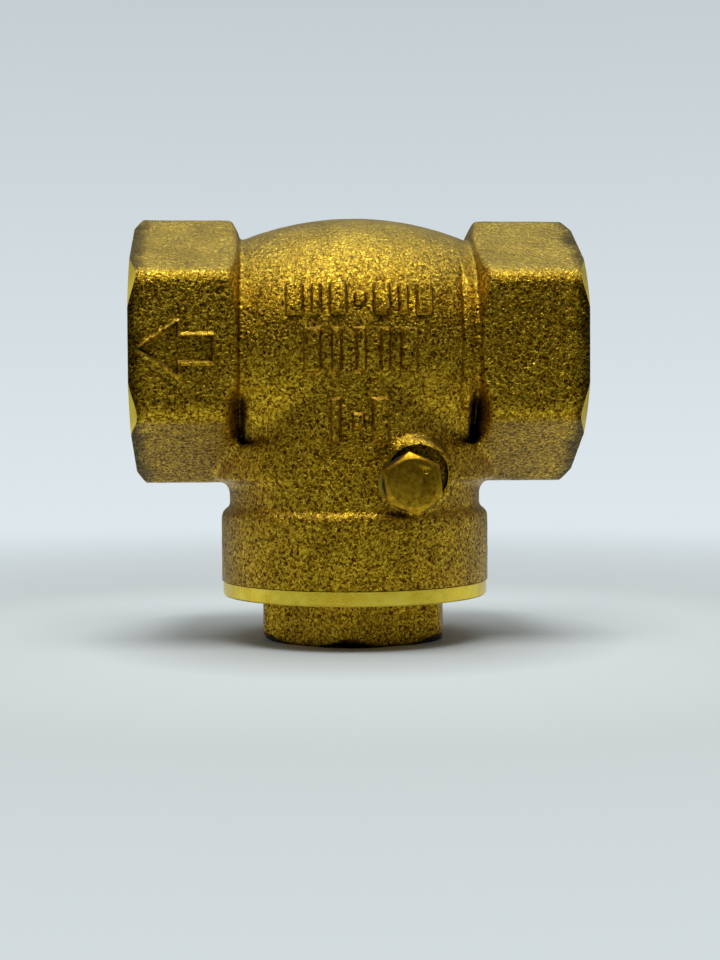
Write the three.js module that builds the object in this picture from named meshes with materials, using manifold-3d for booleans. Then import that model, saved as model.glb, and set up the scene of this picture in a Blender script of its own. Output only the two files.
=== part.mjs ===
// A half-inch swing check valve in forged brass, standing upside down on its cap.
// Millimetres, +Z up. The origin is the middle of the cap's resting face, the two threaded ends lie along X
// and water flows towards -X. The clapper is drawn as it falls open when the valve stands on its cap.
import * as THREE from "three";
import { mergeVertices } from "three/addons/utils/BufferGeometryUtils.js";
import Module from "manifold-3d";

const wasm = await Module();
wasm.setup();

// ---- driving dimensions ----

const pipe = { z: 30.85, halfLength: 23.2 };

const ends = {
  acrossFlats: 25,
  cornerRadius: 1.5,
  waistX: 12.1, // where the hexagon's inner shoulder leaves the barrel
  waistRadius: 12,
  shoulderSlope: 0.6, // rise along the pipe for each millimetre of radius
  faceRadius: 13.05, // edge of the turned end face, which cuts the hexagon's corners
  chamferSlope: 0.8,
  threadMinor: 9.316, // G 1/2, 14 threads per inch
  threadDepth: 12,
  mouthChamfer: 1.4,
};

const barrel = { radius: 14.2 };
const neck = { radius: 13.5 };
const collar = { radius: 14.45, bottom: 6.3, top: 14.3, edge: 1.1 };
const chamber = { radius: 11, pocketRadius: 10.7, pocketEnd: -9.6, partitionStart: 14.4 };

const cap = {
  headFlats: 19,
  headCornerRadius: 2.4,
  headHeight: 4.7,
  headTurn: -0.134, // radians from a corner facing the front
  restRadius: 8.9, // flat circle that the valve stands on
  restChamfer: 0.9,
  flangeRadius: 14.25,
  flangeTop: 6.2,
  spigotRadius: 11.45, // mean thread radius of M24 x 1.5, less clearance
  spigotTop: 12.8,
  hollowRadius: 9,
  hollowFloor: 5.6,
};
const capThread = { radius: 11.65, top: 13.8 };
const capGasket = { inner: 11.75, outer: 12.75, seatRadius: 12.9, bottom: 6.3, top: 7.35, seatTop: 7.45 };

const pin = { x: 4.85, z: 17.05, radius: 1.25, holeRadius: 1.31, front: -11.4, rear: 12.1, holeEnd: 12.4 };
const frontBoss = { x: 5.5, z: 17.85, radius: 3.75, face: -14.15, recessRadius: 3.05, recess: -13.55 };
const rearBoss = { x: 5.1, z: 17.6, radius: 3.7, face: 13.9 };
const plug = {
  acrossFlats: 5.5,
  headFront: -16.45,
  headBack: -14.45,
  headTurn: 23, // degrees
  faceRadius: 2.4,
  faceSlope: 0.6,
  shankRadius: 1.85,
  shankEnd: -11.6,
  holeRadius: 2,
};
const plugGasket = { inner: 2.1, outer: 2.9, front: -14.42, rear: -13.77, seatRadius: 3.3, seat: -13.75 };

// The seat plane leans back, so that the clapper's weight closes it when the cap is on top.
const seat = { lean: THREE.MathUtils.degToRad(12), fromPin: 3.4, rimHeight: 0.5, rimRadius: 8.4, portRadius: 7 };
const openAngle = THREE.MathUtils.degToRad(56);

// The clapper's own frame: origin on the pin, +Z towards the disc, +X towards the seat.
const disc = {
  reach: (pipe.z - pin.z - seat.fromPin * Math.sin(seat.lean)) / Math.cos(seat.lean),
  radius: 8.6,
  recessRadius: 8.05,
  back: -0.3,
  plate: 1.2,
  rim: 2.4,
  studRadius: 1.5,
  studBack: -5.1,
  studFront: 5.6,
};
const rubber = { radius: 7.95, bore: 1.7, back: 1.25, front: 3.25 };
const retainer = { radius: 4.5, bore: 1.6, back: 3.3, front: 4.0 };
const frontNut = { flats: 5.5, bore: 1.6, back: 4.05, front: 5.3 };
const hanger = {
  knuckleRadius: 2.5,
  knuckleHalfWidth: 6.5,
  pinHole: 1.33,
  eyeRadius: 3.7,
  eyeHole: 1.62,
  back: -2.6,
  front: -0.45,
};
const backWasher = { radius: 3, bore: 1.6, back: -3.15, front: -2.65 };
const backNut = { flats: 5.5, bore: 1.6, back: -4.8, front: -3.2 };

const arrow = { tip: -22, shoulder: -18.2, tail: -14.9, headHalf: 2.6, shaftHalf: 1.25, z: 30.5, depth: 0.35 };

const segments = { large: 64, medium: 40, small: 28, corner: 5 };
const through = 60; // length that passes right through the valve

// ---- solids from three.js geometry ----

function solidOf(geometry) {
  const bare = geometry.clone();
  bare.deleteAttribute("normal");
  bare.deleteAttribute("uv");
  const merged = mergeVertices(bare, 1e-4);
  const index = merged.index.array;
  const triangles = [];
  for (let i = 0; i < index.length; i += 3) {
    const [a, b, c] = index.subarray(i, i + 3);
    if (a !== b && b !== c && c !== a) triangles.push(a, b, c);
  }
  const build = (list) =>
    new wasm.Manifold(
      new wasm.Mesh({
        numProp: 3,
        vertProperties: merged.attributes.position.array,
        triVerts: new Uint32Array(list),
      }),
    );
  const solid = build(triangles);
  return solid.volume() > 0 ? solid : build(triangles.reverse());
}

function geometryOf(solid) {
  const mesh = solid.getMesh();
  const geometry = new THREE.BufferGeometry();
  geometry.setAttribute("position", new THREE.BufferAttribute(mesh.vertProperties, 3));
  geometry.setIndex(new THREE.BufferAttribute(mesh.triVerts, 1));
  geometry.computeVertexNormals();
  return geometry;
}

// A solid turned about Z, from [radius, height] points that start and end on the axis.
function turned(profile, sides = segments.large) {
  const points = profile.map(([radius, height]) => new THREE.Vector2(radius, height));
  return solidOf(new THREE.LatheGeometry(points, sides).rotateX(Math.PI / 2));
}

function turnedAlongX(profile, sides) {
  return turned(profile, sides).rotate([0, 90, 0]);
}

function turnedAlongY(profile, sides) {
  return turned(profile, sides).rotate([-90, 0, 0]);
}

// A plain cylinder's profile between two heights.
function rod(radius, low, high) {
  return [
    [0, low],
    [radius, low],
    [radius, high],
    [0, high],
  ];
}

// A washer about Z.
function ring(inner, outer, low, high, sides = segments.large) {
  return turned(
    [
      [inner, low],
      [outer, low],
      [outer, high],
      [inner, high],
      [inner, low],
    ],
    sides,
  );
}

// A hexagon with rounded corners, one corner on +X of the shape's plane.
function hexagonShape(acrossFlats, cornerRadius) {
  const shape = new THREE.Shape();
  const reach = (acrossFlats / 2 - cornerRadius) / Math.cos(Math.PI / 6);
  for (let corner = 0; corner < 6; corner++) {
    const angle = (corner * Math.PI) / 3;
    const x = reach * Math.cos(angle);
    const y = reach * Math.sin(angle);
    shape.absarc(x, y, cornerRadius, angle - Math.PI / 6, angle + Math.PI / 6, false);
  }
  return shape;
}

function hexagonPrism(acrossFlats, cornerRadius, low, high) {
  const depth = high - low;
  const geometry = new THREE.ExtrudeGeometry(hexagonShape(acrossFlats, cornerRadius), {
    depth,
    bevelEnabled: false,
    curveSegments: segments.corner,
  });
  return solidOf(geometry.translate(0, 0, low));
}

function box(width, depth, height) {
  return solidOf(new THREE.BoxGeometry(width, depth, height));
}

// ---- body ----

// The barrel between the two hexagons bulges on an arc from waist to waist.
function barrelSolid() {
  const bulge = barrel.radius - ends.waistRadius;
  const arcRadius = (ends.waistX ** 2 + bulge ** 2) / (2 * bulge);
  const steps = 12;
  const profile = [[0, -ends.waistX - 1]];
  for (let i = 0; i <= steps; i++) {
    const x = ends.waistX * ((2 * i) / steps - 1);
    const radius = barrel.radius - arcRadius + Math.sqrt(arcRadius ** 2 - x ** 2);
    if (i === 0) profile.push([radius, x - 1]);
    profile.push([radius, x]);
    if (i === steps) profile.push([radius, x + 1]);
  }
  profile.push([0, ends.waistX + 1]);
  return turnedAlongX(profile, segments.large);
}

// One hexagon end, drawn on the +X side: forged shoulder towards the barrel, turned chamfer at the outer face.
function hexagonEnd() {
  const beyond = ends.acrossFlats / Math.sqrt(3) + 1;
  const shoulderStart = ends.waistX - 0.3;
  const prism = hexagonPrism(ends.acrossFlats, ends.cornerRadius, shoulderStart, pipe.halfLength);
  const blank = turned([
    [0, shoulderStart],
    [ends.waistRadius, shoulderStart],
    [beyond, shoulderStart + (beyond - ends.waistRadius) * ends.shoulderSlope],
    [beyond, pipe.halfLength - (beyond - ends.faceRadius) * ends.chamferSlope],
    [ends.faceRadius, pipe.halfLength],
    [0, pipe.halfLength],
  ]);
  return prism.intersect(blank).rotate([0, 90, 0]);
}

function collarSolid() {
  return turned([
    [0, collar.bottom],
    [collar.radius, collar.bottom],
    [collar.radius, collar.top - collar.edge],
    [collar.radius - collar.edge * 0.3, collar.top - collar.edge * 0.3],
    [collar.radius - collar.edge, collar.top],
    [0, collar.top],
  ]);
}

function bossSolid({ x, z, radius, face }) {
  const reach = Math.abs(face);
  const shape = turnedAlongY(
    [
      [0, 6],
      [radius, 6],
      [radius, reach - 0.3],
      [radius - 0.3, reach],
      [0, reach],
    ],
    segments.medium,
  );
  return (face < 0 ? shape.rotate([0, 0, 180]) : shape).translate([x, 0, z]);
}

function forging() {
  const end = hexagonEnd();
  const pipeParts = barrelSolid().add(end).add(end.mirror([1, 0, 0])).translate([0, 0, pipe.z]);
  return pipeParts
    .add(turned(rod(neck.radius, collar.bottom + 1, pipe.z)))
    .add(collarSolid())
    .add(bossSolid(frontBoss))
    .add(bossSolid(rearBoss));
}

// Half-space on the inlet side of the leaning wall that carries the seat, above the cap's thread.
function inletSide(offset) {
  const size = 60;
  return box(size, size, size)
    .translate([size / 2 + offset, 0, 0])
    .rotate([0, -THREE.MathUtils.radToDeg(seat.lean), 0])
    .translate([pin.x, 0, pin.z]);
}

function chamberHollow() {
  const steps = 10;
  const profile = [
    [0, collar.bottom - 1],
    [chamber.radius, collar.bottom - 1],
  ];
  for (let i = 0; i < steps; i++) {
    const angle = (i / steps) * (Math.PI / 2);
    profile.push([chamber.radius * Math.cos(angle), pipe.z + chamber.radius * Math.sin(angle)]);
  }
  profile.push([0, pipe.z + chamber.radius]);
  const pocket = turnedAlongX([
    [0, chamber.pocketEnd - 1.4],
    [ends.threadMinor, chamber.pocketEnd - 1.4],
    [chamber.pocketRadius, chamber.pocketEnd],
    [chamber.pocketRadius, chamber.radius / 2],
    [0, chamber.radius / 2],
  ]).translate([0, 0, pipe.z]);
  const wall = inletSide(seat.fromPin + seat.rimHeight).intersect(
    box(through, through, through).translate([0, 0, chamber.partitionStart + through / 2]),
  );
  return turned(profile).add(pocket).subtract(wall);
}

// Bore of a threaded end, drawn on the +X side, down to a drill cone that meets the passage.
function threadedBore(passageRadius) {
  const inner = pipe.halfLength - ends.threadDepth;
  const mouth = ends.threadMinor + ends.mouthChamfer;
  return turnedAlongX(
    [
      [0, inner - 1.2],
      [passageRadius, inner - 1.2],
      [ends.threadMinor, inner],
      [ends.threadMinor, pipe.halfLength - ends.mouthChamfer],
      [mouth, pipe.halfLength],
      [mouth, pipe.halfLength + 1],
      [0, pipe.halfLength + 1],
    ],
    segments.large,
  );
}

function flowPassages() {
  const inlet = threadedBore(seat.portRadius).add(turnedAlongX(rod(seat.portRadius, 0, through / 4), segments.large));
  const outlet = threadedBore(ends.threadMinor)
    .add(turnedAlongX(rod(ends.threadMinor, 0, through / 4), segments.large))
    .mirror([1, 0, 0]);
  return { inlet: inlet.translate([0, 0, pipe.z]), outlet: outlet.translate([0, 0, pipe.z]) };
}

function seatRim() {
  return turnedAlongX(rod(seat.rimRadius, seat.fromPin, seat.fromPin + seat.rimHeight + 1), segments.large)
    .translate([0, 0, disc.reach])
    .rotate([0, -THREE.MathUtils.radToDeg(seat.lean), 0])
    .translate([pin.x, 0, pin.z]);
}

function pinBores() {
  const pinHole = turned(rod(pin.holeRadius, -pin.holeEnd, through / 2), segments.small);
  const plugHole = turned(rod(plug.holeRadius, -plug.shankEnd - 0.1, through / 2), segments.small);
  const gasketSeat = turned(rod(plugGasket.seatRadius, -plugGasket.seat, through / 2), segments.medium);
  const bores = pinHole.add(plugHole).add(gasketSeat).rotate([90, 0, 0]).translate([pin.x, 0, pin.z]);
  const bossRecess = turned(rod(frontBoss.recessRadius, -frontBoss.recess, through / 2), segments.medium)
    .rotate([90, 0, 0])
    .translate([frontBoss.x, 0, frontBoss.z]);
  return bores.add(bossRecess);
}

function capBores() {
  const thread = turned([
    [0, collar.bottom - 1],
    [capThread.radius, collar.bottom - 1],
    [capThread.radius, capThread.top - 0.6],
    [chamber.radius, capThread.top],
    [0, capThread.top],
  ]);
  return thread.add(turned(rod(capGasket.seatRadius, collar.bottom - 1, capGasket.seatTop)));
}

function flowArrow() {
  const shape = new THREE.Shape();
  const outline = [
    [arrow.tip, 0],
    [arrow.shoulder, arrow.headHalf],
    [arrow.shoulder, arrow.shaftHalf],
    [arrow.tail, arrow.shaftHalf],
    [arrow.tail, -arrow.shaftHalf],
    [arrow.shoulder, -arrow.shaftHalf],
    [arrow.shoulder, -arrow.headHalf],
  ];
  outline.forEach(([x, z], i) => (i === 0 ? shape.moveTo(x, z) : shape.lineTo(x, z)));
  const sunk = new THREE.ExtrudeGeometry(shape, { depth: arrow.depth + 1, bevelEnabled: false });
  const front = -ends.acrossFlats / 2 + arrow.depth;
  return solidOf(sunk.rotateX(Math.PI / 2).translate(0, front, arrow.z));
}

function bodySolid() {
  const { inlet, outlet } = flowPassages();
  const blank = forging();
  return blank
    .subtract(chamberHollow())
    .add(seatRim().intersect(blank))
    .subtract(inlet.intersect(inletSide(-pin.x)))
    .subtract(outlet)
    .subtract(pinBores())
    .subtract(capBores())
    .subtract(flowArrow());
}

// ---- cap ----

function capSolid() {
  const corner = cap.headFlats / Math.sqrt(3);
  const slope = cap.restChamfer / (corner - cap.restRadius);
  const head = hexagonPrism(cap.headFlats, cap.headCornerRadius, 0, cap.headHeight)
    .rotate([0, 0, -90 + THREE.MathUtils.radToDeg(cap.headTurn)])
    .intersect(
      turned([
        [0, 0],
        [cap.restRadius, 0],
        [corner + 1, (corner + 1 - cap.restRadius) * slope],
        [corner + 1, cap.flangeTop],
        [0, cap.flangeTop],
      ]),
    );
  const screwed = turned([
    [0, cap.headHeight - 0.2],
    [cap.flangeRadius - 0.3, cap.headHeight - 0.2],
    [cap.flangeRadius, cap.headHeight + 0.1],
    [cap.flangeRadius, cap.flangeTop],
    [cap.spigotRadius - 0.5, cap.flangeTop],
    [cap.spigotRadius - 0.5, cap.flangeTop + 1],
    [cap.spigotRadius, cap.flangeTop + 1.4],
    [cap.spigotRadius, cap.spigotTop - 0.5],
    [cap.spigotRadius - 0.5, cap.spigotTop],
    [0, cap.spigotTop],
  ]);
  const hollow = turned([
    [0, cap.hollowFloor - 0.8],
    [cap.hollowRadius - 1.2, cap.hollowFloor],
    [cap.hollowRadius, cap.hollowFloor + 1.2],
    [cap.hollowRadius, cap.spigotTop + 1],
    [0, cap.spigotTop + 1],
  ]);
  return head.add(screwed).subtract(hollow);
}

function capGasketSolid() {
  return ring(capGasket.inner, capGasket.outer, capGasket.bottom, capGasket.top);
}

// ---- hinge pin and its plug ----

function hingePinSolid() {
  const end = pin.radius - 0.3;
  return turnedAlongY(
    [
      [0, pin.front],
      [end, pin.front],
      [pin.radius, pin.front + 0.3],
      [pin.radius, pin.rear - 0.3],
      [end, pin.rear],
      [0, pin.rear],
    ],
    segments.small,
  ).translate([pin.x, 0, pin.z]);
}

// Drawn with the screw's tip on +Z and its head below, then laid along Y.
function pinPlugSolid() {
  const { headFront, headBack } = plug;
  const corner = plug.acrossFlats / Math.sqrt(3);
  const head = hexagonPrism(plug.acrossFlats, 0.15, headFront, headBack)
    .rotate([0, 0, plug.headTurn])
    .intersect(
      turned(
        [
          [0, headFront],
          [plug.faceRadius, headFront],
          [corner, headFront + (corner - plug.faceRadius) * plug.faceSlope],
          [corner, headBack],
          [0, headBack],
        ],
        segments.medium,
      ),
    );
  const shank = turned(
    [
      [0, headBack - 0.5],
      [plug.shankRadius, headBack - 0.5],
      [plug.shankRadius, plug.shankEnd - 0.3],
      [plug.shankRadius - 0.3, plug.shankEnd],
      [0, plug.shankEnd],
    ],
    segments.small,
  );
  return head.add(shank).rotate([-90, 0, 0]).translate([pin.x, 0, pin.z]);
}

function plugGasketSolid() {
  return ring(plugGasket.inner, plugGasket.outer, plugGasket.front, plugGasket.rear, segments.small)
    .rotate([-90, 0, 0])
    .translate([pin.x, 0, pin.z]);
}

// ---- clapper, in its own frame ----

function discHolderSolid() {
  return turnedAlongX(
    [
      [0, disc.studBack],
      [disc.studRadius - 0.3, disc.studBack],
      [disc.studRadius, disc.studBack + 0.3],
      [disc.studRadius, disc.back],
      [disc.radius - 0.4, disc.back],
      [disc.radius, disc.back + 0.4],
      [disc.radius, disc.rim],
      [disc.recessRadius, disc.rim],
      [disc.recessRadius, disc.plate],
      [disc.studRadius, disc.plate],
      [disc.studRadius, disc.studFront - 0.3],
      [disc.studRadius - 0.3, disc.studFront],
      [0, disc.studFront],
    ],
    segments.large,
  ).translate([0, 0, disc.reach]);
}

// A washer on the disc's axis.
function discWasher({ bore, radius, back, front }, sides = segments.medium) {
  return ring(bore, radius, back, front, sides).rotate([0, 90, 0]).translate([0, 0, disc.reach]);
}

function discNut({ flats, bore, back, front }) {
  const hexagon = hexagonPrism(flats, 0.1, back, front);
  const hole = turned(rod(bore, back - 1, front + 1), segments.small);
  return hexagon.subtract(hole).rotate([0, 90, 0]).translate([0, 0, disc.reach]);
}

// Knuckle on the pin, tapering plate, and an eye for the disc's stud.
function hangerSolid() {
  const plate = new THREE.Shape();
  const half = hanger.knuckleHalfWidth;
  plate.moveTo(-half, 0);
  plate.lineTo(half, 0);
  plate.lineTo(half, hanger.knuckleRadius * 0.6);
  plate.quadraticCurveTo(hanger.eyeRadius * 0.9, hanger.knuckleRadius * 1.6, hanger.eyeRadius, disc.reach);
  plate.absarc(0, disc.reach, hanger.eyeRadius, 0, Math.PI, false);
  plate.quadraticCurveTo(-hanger.eyeRadius * 0.9, hanger.knuckleRadius * 1.6, -half, hanger.knuckleRadius * 0.6);
  const thickness = hanger.front - hanger.back;
  const geometry = new THREE.ExtrudeGeometry(plate, { depth: thickness, bevelEnabled: false, curveSegments: 12 });
  // The shape's x runs along the pin and its y up the arm, so the extrusion runs towards the seat.
  geometry.applyMatrix4(
    new THREE.Matrix4().makeBasis(
      new THREE.Vector3(0, 1, 0),
      new THREE.Vector3(0, 0, 1),
      new THREE.Vector3(1, 0, 0),
    ),
  );
  const arm = solidOf(geometry.translate(hanger.back, 0, 0));
  const knuckle = turnedAlongY(rod(hanger.knuckleRadius, -half, half), segments.medium);
  const pinHole = turnedAlongY(rod(hanger.pinHole, -through / 2, through / 2), segments.small);
  const eye = turnedAlongX(rod(hanger.eyeHole, -through / 2, through / 2), segments.small).translate([0, 0, disc.reach]);
  return arm.add(knuckle).subtract(pinHole).subtract(eye);
}

// ---- the assembly ----

const finishes = {
  forgedBrass: new THREE.MeshStandardMaterial({ color: 0x8f7a33, roughness: 0.55, metalness: 0.9 }),
  turnedBrass: new THREE.MeshStandardMaterial({ color: 0xc9b35c, roughness: 0.3, metalness: 1 }),
  stainless: new THREE.MeshStandardMaterial({ color: 0xb5b5b2, roughness: 0.3, metalness: 1 }),
  rubber: new THREE.MeshStandardMaterial({ color: 0x1b1b1b, roughness: 0.8, metalness: 0 }),
  fibre: new THREE.MeshStandardMaterial({ color: 0x9c3b2a, roughness: 0.85, metalness: 0 }),
};

const valve = new THREE.Group();
const clapper = new THREE.Group();
clapper.position.set(pin.x, 0, pin.z);
clapper.rotation.y = -openAngle;
valve.add(clapper);

function addPiece(group, name, solid, finish) {
  const mesh = new THREE.Mesh(geometryOf(solid), finish);
  mesh.name = name;
  group.add(mesh);
}

addPiece(valve, "body", bodySolid(), finishes.forgedBrass);
addPiece(valve, "cap", capSolid(), finishes.forgedBrass);
addPiece(valve, "cap_gasket", capGasketSolid(), finishes.fibre);
addPiece(valve, "hinge_pin", hingePinSolid(), finishes.stainless);
addPiece(valve, "pin_plug", pinPlugSolid(), finishes.turnedBrass);
addPiece(valve, "plug_gasket", plugGasketSolid(), finishes.fibre);
addPiece(clapper, "hanger", hangerSolid(), finishes.turnedBrass);
addPiece(clapper, "disc_holder", discHolderSolid(), finishes.turnedBrass);
addPiece(clapper, "seat_disc", discWasher(rubber, segments.large), finishes.rubber);
addPiece(clapper, "seat_disc_washer", discWasher(retainer), finishes.turnedBrass);
addPiece(clapper, "seat_disc_nut", discNut(frontNut), finishes.turnedBrass);
addPiece(clapper, "hanger_washer", discWasher(backWasher), finishes.stainless);
addPiece(clapper, "hanger_nut", discNut(backNut), finishes.turnedBrass);

export default valve;
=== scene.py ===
import math
import bmesh
import bpy
import numpy as np
from mathutils import Matrix, Vector


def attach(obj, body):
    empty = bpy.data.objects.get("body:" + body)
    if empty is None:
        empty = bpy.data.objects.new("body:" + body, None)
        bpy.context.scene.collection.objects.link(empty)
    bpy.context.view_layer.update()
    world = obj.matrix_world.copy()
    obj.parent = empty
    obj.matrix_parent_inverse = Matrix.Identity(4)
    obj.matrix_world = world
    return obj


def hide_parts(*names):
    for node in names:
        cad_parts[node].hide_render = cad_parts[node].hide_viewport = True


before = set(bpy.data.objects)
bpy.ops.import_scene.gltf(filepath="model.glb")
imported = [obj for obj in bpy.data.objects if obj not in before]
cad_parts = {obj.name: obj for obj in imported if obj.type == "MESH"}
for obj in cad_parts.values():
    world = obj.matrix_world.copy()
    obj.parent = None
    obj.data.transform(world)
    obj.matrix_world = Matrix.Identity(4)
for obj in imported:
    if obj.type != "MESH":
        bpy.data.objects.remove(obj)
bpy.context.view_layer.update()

mm = 0.001


def hexColour(text):
    channels = [int(text[i:i + 2], 16) / 255 for i in (1, 3, 5)]
    linear = [c / 12.92 if c <= 0.04045 else ((c + 0.055) / 1.055) ** 2.4 for c in channels]
    return (*linear, 1.0)


def addNode(tree, kind, sockets=None, stops=(), **settings):
    # stops are the (position, hex colour) pairs of a colour ramp
    node = tree.nodes.new("ShaderNode" + kind)
    for position, colour in stops[2:]:
        node.color_ramp.elements.new(position)
    for index, (position, colour) in enumerate(stops):
        node.color_ramp.elements[index].position = position
        node.color_ramp.elements[index].color = hexColour(colour)
    for name, value in settings.items():
        setattr(node, name, value)
    for name, value in (sockets or {}).items():
        if isinstance(value, bpy.types.NodeSocket):
            tree.links.new(value, node.inputs[name])
        else:
            node.inputs[name].default_value = value
    return node


def startMaterial(name):
    material = bpy.data.materials.new(name)
    material.use_nodes = True
    tree = material.node_tree
    tree.nodes.clear()
    output = addNode(tree, "OutputMaterial")
    place = addNode(tree, "TexCoord").outputs["Object"]
    return material, tree, output, place


# the light yellow colour is painted light for the faces that look up
# the near-black colour is painted shade for the hollows, and it also darkens the hexagons' outer ends
forgedFinish = {
    "bright": "#ffd63c", "middle": "#c4961d", "stain": "#553806", "hollowShadeAndEnds": "#100a02", "topSheen": "#ecd868",
    "grainSize": 0.3, "pitSize": 0.6, "stainSize": 3.2, "grainDepth": 0.13, "pitDepth": 0.09,
    "darkEndFrom": 22.7, "darkEndTo": 23.9, "hollowReach": 2.0,
}


def makeForgedBrass():
    # Forged brass, sandblasted: a matt, sugary grain, with painted shade darkening the hollows
    # Real blasting grit leaves marks of about 0.15 mm; they are drawn at twice that to show at this size
    f = forgedFinish
    material, tree, output, place = startMaterial("sandblastedForgedBrass")
    grain = addNode(tree, "TexNoise", {"Vector": place, "Scale": 1 / (f["grainSize"] * mm), "Detail": 3.0,
                                       "Roughness": 0.62, "Distortion": 0.9})
    pits = addNode(tree, "TexNoise", {"Vector": place, "Scale": 1 / (f["pitSize"] * mm), "Detail": 2.0,
                                      "Roughness": 0.5, "Distortion": 1.2})
    stains = addNode(tree, "TexNoise", {"Vector": place, "Scale": 1 / (f["stainSize"] * mm), "Detail": 4.0,
                                        "Roughness": 0.6})
    speckle = addNode(tree, "ValToRGB", {"Fac": grain.outputs["Fac"]},
                      [(0.39, f["stain"]), (0.5, f["middle"]), (0.61, f["bright"])])
    # painted light: the faces that look up are paled towards a light yellow, as if lit from above
    facing = addNode(tree, "SeparateXYZ", {"Vector": addNode(tree, "TexCoord").outputs["Normal"]})
    topLitShare = addNode(tree, "MapRange", {"Value": facing.outputs["Z"], "From Min": 0.35, "From Max": 1.0,
                                       "To Min": 0.0, "To Max": 0.5})
    topLitColour = addNode(tree, "Mix", {"Factor": topLitShare.outputs["Result"], "A": speckle.outputs["Color"],
                                   "B": hexColour(f["topSheen"])}, data_type="RGBA")
    cloud = addNode(tree, "MapRange", {"Value": stains.outputs["Fac"], "From Min": 0.35, "From Max": 0.7,
                                       "To Min": 0.0, "To Max": 0.4})
    stained = addNode(tree, "Mix", {"Factor": cloud.outputs["Result"], "A": topLitColour.outputs["Result"],
                                    "B": hexColour(f["stain"])}, data_type="RGBA")
    # painted shade: ambient occlusion darkens the hollows; the outer ends of the hexagons are darker too
    openness = addNode(tree, "AmbientOcclusion", {"Distance": f["hollowReach"] * mm}, samples=8)
    hollow = addNode(tree, "MapRange", {"Value": openness.outputs["AO"], "From Min": 0.72, "From Max": 0.3})
    along = addNode(tree, "SeparateXYZ", {"Vector": place})
    reach = addNode(tree, "Math", {0: along.outputs["X"]}, operation="ABSOLUTE")
    ragged = addNode(tree, "Math", {0: stains.outputs["Fac"], 1: 2.4 * mm, 2: reach.outputs["Value"]},
                     operation="MULTIPLY_ADD")
    end = addNode(tree, "MapRange", {"Value": ragged.outputs["Value"], "From Min": f["darkEndFrom"] * mm,
                                     "From Max": f["darkEndTo"] * mm, "To Min": 0.0, "To Max": 0.75})
    dark = addNode(tree, "Math", {0: hollow.outputs["Result"], 1: end.outputs["Result"]}, operation="MAXIMUM")
    shadedAndDarkened = addNode(tree, "Mix", {"Factor": dark.outputs["Value"], "A": stained.outputs["Result"],
                                  "B": hexColour(f["hollowShadeAndEnds"])}, data_type="RGBA")
    rough = addNode(tree, "MapRange", {"Value": grain.outputs["Fac"], "From Min": 0.3, "From Max": 0.7,
                                       "To Min": 0.4, "To Max": 0.24})
    coarse = addNode(tree, "Bump", {"Height": pits.outputs["Fac"], "Distance": f["pitDepth"] * mm,
                                    "Strength": 1.0})
    fine = addNode(tree, "Bump", {"Height": grain.outputs["Fac"], "Distance": f["grainDepth"] * mm,
                                  "Strength": 1.0, "Normal": coarse.outputs["Normal"]})
    shader = addNode(tree, "BsdfPrincipled", {
        "Base Color": shadedAndDarkened.outputs["Result"], "Metallic": 1.0, "Roughness": rough.outputs["Result"],
        "Normal": fine.outputs["Normal"]})
    tree.links.new(shader.outputs["BSDF"], output.inputs["Surface"])
    return material


turnedFinish = {"bright": "#ffe654", "dull": "#e8c338", "lineWidth": 0.12, "lineDepth": 0.006,
                "smearSize": 2.5}


def makeTurnedBrass():
    # Free-cutting brass off the lathe: bright yellow with faint tool lines and a few smears of oil
    t = turnedFinish
    material, tree, output, place = startMaterial("turnedBrass")
    lines = addNode(tree, "TexNoise", {"Vector": place, "Scale": 1 / (t["lineWidth"] * mm), "Detail": 1.0})
    smears = addNode(tree, "TexNoise", {"Vector": place, "Scale": 1 / (t["smearSize"] * mm), "Detail": 5.0,
                                        "Roughness": 0.7})
    colour = addNode(tree, "ValToRGB", {"Fac": smears.outputs["Fac"]},
                     [(0.35, t["dull"]), (0.62, t["bright"])])
    rough = addNode(tree, "MapRange", {"Value": smears.outputs["Fac"], "From Min": 0.3, "From Max": 0.7,
                                       "To Min": 0.22, "To Max": 0.38})
    bump = addNode(tree, "Bump", {"Height": lines.outputs["Fac"], "Distance": t["lineDepth"] * mm,
                                  "Strength": 1.0})
    shader = addNode(tree, "BsdfPrincipled", {
        "Base Color": colour.outputs["Color"], "Metallic": 1.0, "Roughness": rough.outputs["Result"],
        "Normal": bump.outputs["Normal"]})
    tree.links.new(shader.outputs["BSDF"], output.inputs["Surface"])
    return material


millFinish = {"dark": "#8d680f", "light": "#d6aa2a", "skinSize": 0.5, "skinDepth": 0.02}


def makeDullBrass():
    # Hexagon bar brass with its mill skin: duller and browner, faint rings left by parting off
    m = millFinish
    material, tree, output, place = startMaterial("millFinishedBrass")
    skin = addNode(tree, "TexNoise", {"Vector": place, "Scale": 1 / (m["skinSize"] * mm), "Detail": 5.0,
                                      "Roughness": 0.7})
    colour = addNode(tree, "ValToRGB", {"Fac": skin.outputs["Fac"]}, [(0.36, m["dark"]), (0.62, m["light"])])
    rough = addNode(tree, "MapRange", {"Value": skin.outputs["Fac"], "To Min": 0.5, "To Max": 0.3})
    bump = addNode(tree, "Bump", {"Height": skin.outputs["Fac"], "Distance": m["skinDepth"] * mm,
                                  "Strength": 1.0})
    shader = addNode(tree, "BsdfPrincipled", {
        "Base Color": colour.outputs["Color"], "Metallic": 1.0, "Roughness": rough.outputs["Result"],
        "Normal": bump.outputs["Normal"]})
    tree.links.new(shader.outputs["BSDF"], output.inputs["Surface"])
    return material


drawnFinish = {"dark": "#a5a39c", "light": "#cfcdc6", "lineWidth": 0.08, "lineLength": 2.0,
               "lineDepth": 0.004}


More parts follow.
